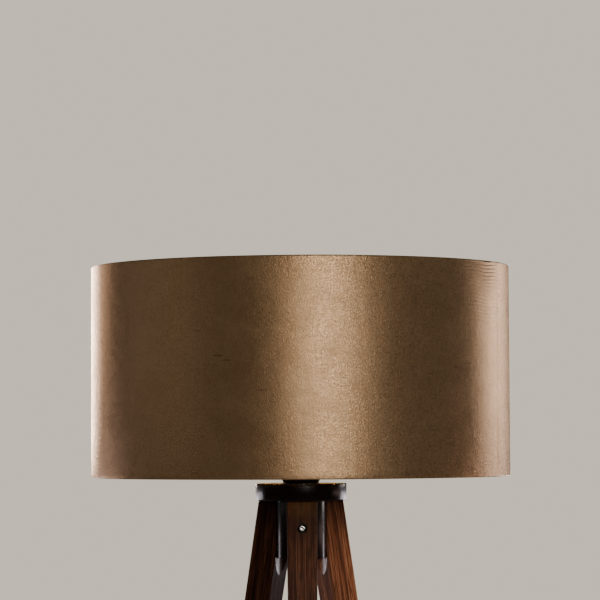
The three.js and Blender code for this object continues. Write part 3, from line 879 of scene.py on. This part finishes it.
def leg_levels():
    """Heights of the slices: close together at both ends and where the hollow runs out."""
    near_end = np.array([0, 0.25, 0.6, 1.2]) * MM
    foot = foot_level + near_end
    shaft = np.linspace(foot_level + 8 * MM, hub_low - RUNOUT_START - 2 * MM, 60)
    runout = np.linspace(hub_low - RUNOUT_START, hub_low, 36)
    head = np.linspace(hub_low + 3 * MM, head_level - 2 * MM, 16)
    top = head_level - near_end[::-1]
    return np.concatenate([foot, shaft, runout, head, top])[:, None]


def leg_points():
    """points[level, column] in the leg's own frame: x outwards, y across, z up. Both halves
    of every slice, drawn in by the easing at the two ends, with a closing point at each end."""
    z = leg_levels()
    x, y = half_slice(z, LEG_EASE)
    from_end = np.minimum(z - foot_level, head_level - z)
    ease = 0.8 * MM
    inset = ease - np.sqrt(np.maximum(ease**2 - np.maximum(ease - from_end, 0) ** 2, 0))
    middle = (x[:, :1] + x[:, -1:]) / 2
    reach = np.hypot(x - middle, y)
    shrink = 1 - inset / np.maximum(reach, 1e-6)
    x = middle + (x - middle) * shrink
    y = y * shrink
    loop_x = np.concatenate([x, x[:, -2:0:-1]], 1)
    loop_y = np.concatenate([y, -y[:, -2:0:-1]], 1)
    points = np.stack([loop_x, loop_y, z + 0 * loop_x], -1)
    ends = np.stack([middle + 0 * loop_x, 0 * loop_x, z + 0 * loop_x], -1)
    return np.concatenate([ends[:1], points, ends[-1:]])


# %% [markdown]
# The drill is a plain round bar. A boolean modifier takes it out of the leg, and the result
# is kept as the leg's mesh, with no modifier left on it. Afterwards each point stores where
# it lies in the planed blank, as the attribute that the grain reads.

# %% Drill a leg and mark its grain
BOLT_HEIGHT = (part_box("leg_bolt_front")[0].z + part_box("leg_bolt_front")[1].z) / 2
COUNTERBORE = (6.3 * MM, 45.0 * MM, 70.0 * MM)
BOLT_HOLE = (3.3 * MM, 20.0 * MM, 50.0 * MM)
# Painted shade: how far down from the leg's head its painted light falls off, as in the shadow of
# the plate and the shade.
PAINTED_SHADE_REACH = 75.0 * MM


def laid_along_x(points):
    """A piece turned on the Z axis, laid down along X at the bolt's height."""
    return np.stack([points[..., 2], points[..., 1], BOLT_HEIGHT - points[..., 0]], -1)


def drill(radius, start, end):
    """A round bar along X at the bolt's height, closed at both ends."""
    profile = np.array([(0, start), (radius, start), (radius, end), (0, end)])
    return grid_piece("drill", laid_along_x(revolve(profile, 48)))


def drilled(piece, *bars):
    """The piece with the bars cut out of it; the bars are thrown away."""
    for bar in bars:
        cut = piece.modifiers.new("drill", "BOOLEAN")
        cut.operation = "DIFFERENCE"
        cut.solver = "EXACT"
        cut.object = bar
    bpy.context.view_layer.update()
    evaluated = piece.evaluated_get(bpy.context.evaluated_depsgraph_get())
    mesh = bpy.data.meshes.new_from_object(evaluated)
    piece.modifiers.clear()
    piece.data = mesh
    for bar in bars:
        bpy.data.objects.remove(bar)
    smooth(mesh, 28.0)
    return piece


def points_of(mesh):
    """The mesh's points as an array with a row for each."""
    place = np.empty(len(mesh.vertices) * 3, np.float32)
    mesh.vertices.foreach_get("co", place)
    return place.reshape(-1, 3)


def mark_grain(mesh, offset, tone):
    """Stores (across, through, along) for each point, with the lean taken out, so that the
    grain runs down the leg. The offset starts each leg in another part of the wood. The tone
    is painted light, how lit the leg looks, from 0 to 1, and it falls towards the head as
    painted shade, where the plate and the shade overhead throw their shadow."""
    place = points_of(mesh)
    through = place[:, 0] - outer_reach(place[:, 2])
    along = place[:, 2] / math.cos(SPLAY)
    marked = np.stack([place[:, 1] + offset, through, along], -1).astype(np.float32)
    attribute = mesh.attributes.new("leg_place", "FLOAT_VECTOR", "POINT")
    attribute.data.foreach_set("vector", marked.ravel())
    # Painted light: how lit each point of the leg looks, stored for the walnut finish.
    painted_light_layer = mesh.attributes.new("painted_leg_light", "FLOAT", "POINT")
    # Painted shade: the painted light falls to a quarter at the leg's head, as under the shadow
    # of the plate and the shade.
    lit_and_shaded = tone * (0.25 + 0.75 * smoothstep((head_level - place[:, 2]) / PAINTED_SHADE_REACH))
    painted_light_layer.data.foreach_set("value", lit_and_shaded.astype(np.float32))


def turn_mesh(mesh, azimuth):
    """Turns every point about the Z axis."""
    c, s = math.cos(azimuth), math.sin(azimuth)
    turned_place = points_of(mesh) @ np.array([[c, s, 0], [-s, c, 0], [0, 0, 1]], np.float32)
    mesh.vertices.foreach_set("co", turned_place.ravel())
    mesh.update()


# %% Make the three legs
# Painted light: how lit each leg looks. The back right leg, which the lights fall on, is palest,
# and the back left leg, turned away from them, is darkest.
PAINTED_LEG_LIGHT = {"front": 0.26, "back_right": 0.95, "back_left": 0.10}
FIRST_BOARD = 0.17
NEXT_BOARD = 0.29
for count, (side, azimuth) in enumerate(LEG_AZIMUTHS.items()):
    leg = grid_piece(f"wooden_leg_{side}", leg_points())
    leg = drilled(leg, drill(*COUNTERBORE), drill(*BOLT_HOLE))
    mark_grain(leg.data, FIRST_BOARD + NEXT_BOARD * count, PAINTED_LEG_LIGHT[side])
    turn_mesh(leg.data, math.radians(azimuth))
    fit(leg, "tripod", "walnut", walnut, f"leg_{side}")

# %% [markdown]
# ### Bolts and feet
#
# A socket-head bolt is turned and then broached: its socket is a hexagon. In the surface of
# revolution this only means that, in the rows inside the socket, the radius depends on the
# angle, so that the circle becomes a hexagon.


# %% Make the bolts, washers and glides
def hexagon_radius(turn, across_flats):
    """Distance to a regular hexagon's side: half its width over the cosine of the angle
    from the middle of that side."""
    sixth = math.pi / 3
    return across_flats / 2 / np.cos((turn + sixth / 2) % sixth - sixth / 2)


def make_bolt(side):
    """A turned bolt along X with a domed head and a hexagonal socket."""
    head, shank, seat, end = 5.0 * MM, 3.0 * MM, 46.8 * MM, 52.3 * MM
    stem = [(0, 13.0 * MM), (shank, 13.0 * MM), (shank, seat), (head, seat)]
    dome = [(head, seat + 2.4 * MM), (3.9 * MM, end - 0.5 * MM), (2.8 * MM, end)]
    outside = eased(stem + dome, 1.2 * MM, closed=False, steps=5)
    turn = full_turn(96)
    radius = outside[:, 0:1] + 0 * turn
    socket = hexagon_radius(turn, 4.0 * MM)
    mouth = [(socket + 0.2 * MM, end), (socket, end - 0.3 * MM)]
    rows = mouth + [(socket, end - 3.0 * MM), (0 * turn, end - 3.6 * MM)]
    radius = np.concatenate([radius] + [row[0] for row in rows])
    height = np.concatenate([outside[:, 1], [row[1] for row in rows]])[:, None] + 0 * turn
    points = np.stack([radius * np.cos(turn), radius * np.sin(turn), height], -1)
    return grid_piece(f"socket_bolt_{side}", laid_along_x(points), sharp_angle=40.0)


def make_washer(side):
    """A flat ring round X, under the bolt's head."""
    inner, outer, start, end = 3.3 * MM, 5.8 * MM, 45.3 * MM, 46.5 * MM
    profile = eased([(inner, start), (outer, start), (outer, end), (inner, end)], 0.3 * MM)
    along_x = laid_along_x(revolve(profile, 64))
    return grid_piece(f"plain_washer_{side}", along_x, round_rows=True)


def make_glide(side, reach):
    """A domed plastic foot with a flat tread, and the pin that holds it in the leg."""
    profile = [(0, 0), (8.0, 0), (8.0, 3.0), (2.0, 3.0), (2.0, 14.0), (0, 14.0)]
    points = revolve(eased(np.array(profile) * MM, 0.9 * MM, closed=False), 64)
    points[..., 0] += reach
    return grid_piece(f"foot_glide_{side}", points)


glide_low, glide_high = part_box("glide_front")
glide_reach = -(glide_low.y + glide_high.y) / 2
for side, azimuth in LEG_AZIMUTHS.items():
    bolt = make_bolt(side)
    washer = make_washer(side)
    glide = make_glide(side, glide_reach)
    for piece in (bolt, washer, glide):
        turn_mesh(piece.data, math.radians(azimuth))
    fit(bolt, "tripod", "steel", plated_steel, f"leg_bolt_{side}")
    fit(washer, "tripod", "steel", blackened_steel, f"bolt_washer_{side}")
    fit(glide, "tripod", "glide_black", foot_plastic, f"glide_{side}")

# %% [markdown]
# ## Lampholder
#
# The lampholder is moulded in black: a cup that flares up from the plate, an upper sleeve
# with a thread on its collar, and the ring that screws down on that thread to hold the
# shade. A thread is a helix, so the collar's radius is a wave whose phase is the height minus
# the angle's share of one pitch. The profiles below are in millimetres of radius, and of
# height above the lampholder's base.


# %% Make the lampholder's cap and sleeve
COLLAR_PITCH = 2.6 * MM
COLLAR_THREAD = 0.8 * MM


def helix_phase(points, pitch):
    """Grows by a full turn for each pitch of height, less the angle round the axis."""
    return 2 * np.pi * points[..., 2] / pitch - np.arctan2(points[..., 1], points[..., 0])


def make_cap():
    """A cup that flares from the plate to a short upright rim, hollow above."""
    b, top = holder_base, holder_cap_top
    profile = [(BORE, b), (20.8 * MM, b), (24.0 * MM, b + 6.2 * MM), (24.4 * MM, b + 8.5 * MM),
               (24.4 * MM, top), (22.1 * MM, top), (22.1 * MM, b + 9.5 * MM),
               (20.5 * MM, b + 4.0 * MM), (BORE, b + 4.0 * MM)]
    return turned("lampholder_cap", profile, 0.6 * MM)


def make_sleeve():
    """The skirt, the shoulder and the collar in one profile; the collar gets its thread."""
    b = holder_base
    profile = [(19.2, 12.6), (21.7, 12.6), (21.7, 27.3), (24.4, 27.3), (24.4, 30.0),
               (19.75, 30.0), (19.75, 58.0), (14.7, 58.0), (14.7, 24.0), (19.2, 24.0)]
    profile = np.array(profile) * MM + [0, b]
    fine = subdivided(eased(profile, 0.4 * MM), 0.32 * MM)
    points = revolve(fine, 120)
    radius, height = sides_of(fine)
    on_collar = (radius > 19.5 * MM) & (radius < 20.0 * MM) & (height > b + 30.5 * MM)
    fade_in = smoothstep((height - b - 31.0 * MM) / COLLAR_PITCH)
    fade_out = smoothstep((b + 57.0 * MM - height) / COLLAR_PITCH)
    groove = 0.5 + 0.5 * np.cos(helix_phase(points, COLLAR_PITCH))
    cut = np.where(on_collar, COLLAR_THREAD * fade_in * fade_out * groove, 0)
    return grid_piece("lampholder_sleeve", swollen(points, -cut), round_rows=True)


fit(make_cap(), "tripod", "black_plastic", black_moulding, "holder_cap")
fit(make_sleeve(), "tripod", "black_plastic", black_moulding, "holder_sleeve")


# %% Make the clamp ring
RIBS = 30
RIB_DEPTH = 0.65 * MM


def make_clamp_ring():
    """A flange and a collar in one profile. On the collar the radius carries a ring of
    rounded ribs for the fingers."""
    b = holder_base
    flange = [(20.1, 31.8), (28.0, 31.8), (28.0, 34.0)]
    collar = [(24.8, 34.0), (24.8, 40.5), (20.1, 40.5)]
    profile = np.array(flange + collar) * MM + [0, b]
    fine = subdivided(eased(profile, 0.5 * MM), 0.8 * MM)
    points = revolve(fine, 360)
    radius, height = sides_of(fine)
    on_grip = (radius > 24.3 * MM) & (radius < 25.0 * MM) & (height > b + 34.2 * MM)
    ribs = RIB_DEPTH * np.cos(RIBS * full_turn(360)) * smoothstep((b + 40.3 * MM - height) / MM)
    points = swollen(points, np.where(on_grip, ribs, 0))
    return grid_piece("shade_clamp_ring", points, round_rows=True, sharp_angle=40.0)


fit(make_clamp_ring(), "clamp_ring", "black_plastic", black_moulding, "clamp_ring")

# %% [markdown]
# ## Bulb
#
# The bulb screws into the holder. Its cap is rolled thin metal, so its thread is a wave with
# round tops and bottoms. The glass is a thin shell: its outline is a straight neck, an easy
# curve and a globe, and the inside is the same outline drawn in by the glass's thickness.


# %% Make the bulb
GLOBE_RADIUS = 30.0 * MM
NECK_RADIUS = 12.1 * MM
SHELL_PITCH = 3.6 * MM
SHELL_WAVE = 0.65 * MM


def make_screw_shell():
    """A thin wall whose radius is a helix wave, inside and outside alike."""
    outer, low, high = span("bulb_shell")
    wall = 0.35 * MM
    mid = outer - 0.75 * MM
    height = np.linspace(low, high, 110)
    loop = np.concatenate([
        np.stack([np.full(110, mid), height], -1),
        np.stack([np.full(110, mid - wall), height[::-1]], -1)])
    points = revolve(loop, 96)
    z = points[..., 2]
    fade = smoothstep((z - low) / (3 * MM)) * smoothstep((high - 3 * MM - z) / (3 * MM))
    waved = swollen(points, SHELL_WAVE * fade * np.cos(helix_phase(points, SHELL_PITCH)))
    return grid_piece("bulb_screw_shell", waved, round_rows=True)


globe_centre = span("bulb_glass")[2] - GLOBE_RADIUS


def glass_outline(inset):
    """Neck, shoulder curve and globe as (radius, height), drawn in by the inset."""
    globe_radius = GLOBE_RADIUS - inset
    neck = NECK_RADIUS - inset
    meet = math.radians(-20)
    joint = [globe_radius * math.cos(meet), globe_centre + globe_radius * math.sin(meet)]
    start = np.array([neck, holder_base + 51.5 * MM])
    pull = np.array([neck, holder_base + 66.0 * MM])
    lead = joint + 15 * MM * np.array([math.sin(meet), -math.cos(meet)])
    t = np.linspace(0, 1, 24)[:, None]
    shoulder = ((1 - t) ** 3 * start + 3 * t * (1 - t) ** 2 * pull
                + 3 * t**2 * (1 - t) * lead + t**3 * joint)
    angle = np.linspace(meet, math.pi / 2, 32)[1:]
    crown = globe_radius * np.stack([np.cos(angle), np.sin(angle)], -1) + [0, globe_centre]
    crown[-1, 0] = 0.0
    mouth = np.array([[neck, holder_base + 42.0 * MM]])
    return np.concatenate([mouth, shoulder, crown])


def make_bulb_glass():
    """The inner outline from crown to mouth, then the outer one back up to the crown."""
    inside = glass_outline(1.0 * MM)[::-1]
    outside = glass_outline(0.0)
    return grid_piece("bulb_globe", revolve(np.concatenate([inside, outside]), 96))


globe = fit(make_bulb_glass(), "bulb", "clear_glass", clear_glass, "bulb_glass")
globe.visible_shadow = False
fit(make_screw_shell(), "bulb", "steel", plated_steel, "bulb_shell")

# %% [markdown]
# ## The pieces that keep their engineered shape
#
# Nuts, terminals, inserts and dowels are right as they are, and mostly hidden. They still
# get a real finish, because the lamp can be taken apart.

# %% Finish the remaining pieces
KEPT = [
    (plated_steel, ["threaded_tube", "tube_washer", "tube_nut", "holder_lock_nut"]),
    (plated_steel, ["terminal_screw_live", "terminal_screw_neutral", "bulb_contact"]),
    (brass, ["terminal_live", "terminal_neutral", "centre_contact", "thread_shell"]),
    (brass, [f"threaded_insert_{side}" for side in LEG_AZIMUTHS]),
    (beech, [f"dowel_{side}" for side in LEG_AZIMUTHS]),
    (black_moulding, ["cord_bush", "bulb_insulator"]),
    (ceramic, ["holder_core"]),
    (phosphor, ["bulb_filament"]),
]

for material, nodes in KEPT:
    for node in nodes:
        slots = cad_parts[node].data.materials
        slots.clear()
        slots.append(material)
print(sum(len(nodes) for _, nodes in KEPT), "engineered pieces finished")

# %% [markdown]
# ## Floor and light
#
# The lamp stands on a plain pale floor. Velvet and lacquer are drawn by what they mirror, so
# the studio has soft panels and a dim surround. On the round shade every panel makes an
# upright band, and its place follows from the panel's side angle: a panel that far to the
# side of the camera is mirrored where the shade has turned by half as much.
#
# Two panels beside the camera, a narrow one before a wide one, make the broad tan band and
# its shoulder. A weak one on the left fills the dark side. Behind on the right hangs the one
# for the silvery band, and behind on the left two for the bright rim and its falloff. Two low
# ones behind edge the plate, the hub and the legs, and a small strip warms the hub's side.


# %% Lay the floor
FLOOR_GLOW = 1.1


def make_floor():
    """A large flat disc at z = 0. To the eye it glows a little, so that it stays pale far
    from the panels, but it sends no such light to the lamp."""
    rings = np.array([(12, 0), (6, 0), (2, 0), (0, 0)], float)
    floor = grid_piece("studio_floor", revolve(rings, 64))
    material, tree, shader = finish_named("pale_floor", Roughness=0.75)
    cloud = noise(tree, place(tree), 1.5, 4.0)
    colour = mixed(tree, cloud, (0.42, 0.415, 0.40), (0.46, 0.455, 0.44))
    to_camera = add(tree, "LightPath").outputs["Is Camera Ray"]
    glow = math_node(tree, "MULTIPLY", to_camera, FLOOR_GLOW)
    wire(tree, shader, Base_Color=colour, Emission_Color=colour, Emission_Strength=glow)
    floor.data.materials.append(material)
    return floor


make_floor()


# %% Hang the light panels
def panel(name, side_degrees, distance, height, size, power, colour, aim_height=1.3):
    """A soft rectangular panel on a circle round the lamp, facing its axis. The side angle
    counts from the camera's own direction, to the right."""
    azimuth = EYE_AZIMUTH + math.radians(side_degrees)
    light = bpy.data.lights.new(name, "AREA")
    light.shape = "RECTANGLE"
    light.size, light.size_y = size
    light.energy = power
    light.color = colour
    made = bpy.data.objects.new(name, light)
    made.location = (distance * math.cos(azimuth), distance * math.sin(azimuth), height)
    lean = math.atan2(height - aim_height, distance)
    made.rotation_euler = (math.radians(90) - lean, 0, azimuth + math.radians(90))
    made.visible_camera = False
    bpy.context.scene.collection.objects.link(made)
    return made


WARM = (1.0, 0.93, 0.84)
AMBER = (1.0, 0.81, 0.67)
PEARL = (1.0, 0.91, 0.85)
LILAC = (1.0, 0.90, 0.96)
ROSE = (1.0, 0.64, 0.54)
panel("front_panel", 13.5, 2.6, 1.48, (0.8, 0.42), 16, WARM, 1.48)
panel("wide_panel", 13.5, 2.7, 1.48, (2.3, 0.42), 11, WARM, 1.48)
panel("left_fill_panel", -80, 2.4, 1.50, (2.4, 0.5), 2.0, WARM, 1.50)
panel("right_back_panel", 130, 2.4, 1.55, (1.3, 0.70), 16, PEARL, 1.55)
panel("left_back_panel", -161, 2.4, 1.55, (0.9, 0.70), 46, AMBER, 1.55)
panel("left_soft_panel", -142, 2.4, 1.60, (1.2, 0.60), 5.5, AMBER, 1.55)
panel("right_strip", 100, 0.9, 1.09, (0.44, 0.08), 0.3, ROSE, 1.12)
panel("low_right_rim", 143, 2.4, 0.86, (2.0, 0.34), 15, LILAC, 1.17)
panel("low_left_rim", -140, 2.4, 0.86, (2.2, 0.34), 14, LILAC, 1.17)


# %% Light the bulb and the surround
def light_bulb():
    """A small warm light in the middle of the globe."""
    light = bpy.data.lights.new("bulb_glow", "POINT")
    light.energy = 0.4
    light.color = (1.0, 0.74, 0.44)
    light.shadow_soft_size = 0.02
    light.specular_factor = 0.1
    made = bpy.data.objects.new("bulb_glow", light)
    made.location = (0, 0, globe_centre)
    bpy.context.scene.collection.objects.link(made)


def make_surround():
    """A plain surround, which is paler to the eye than it is as a light."""
    world = bpy.data.worlds.new("studio_surround")
    world.use_nodes = True
    bpy.context.scene.world = world
    tree = world.node_tree
    tree.nodes.clear()
    seen = add(tree, "Background", {"Color": (0.80, 0.73, 0.60, 1.0), "Strength": 1.0})
    lit = add(tree, "Background", {"Color": (0.95, 0.92, 0.90, 1.0), "Strength": 0.05})
    is_camera = add(tree, "LightPath").outputs["Is Camera Ray"]
    both = {0: is_camera, 1: lit.outputs[0], 2: seen.outputs[0]}
    mix = add(tree, "MixShader", both)
    add(tree, "OutputWorld", {"Surface": mix.outputs[0]})


light_bulb()
make_surround()
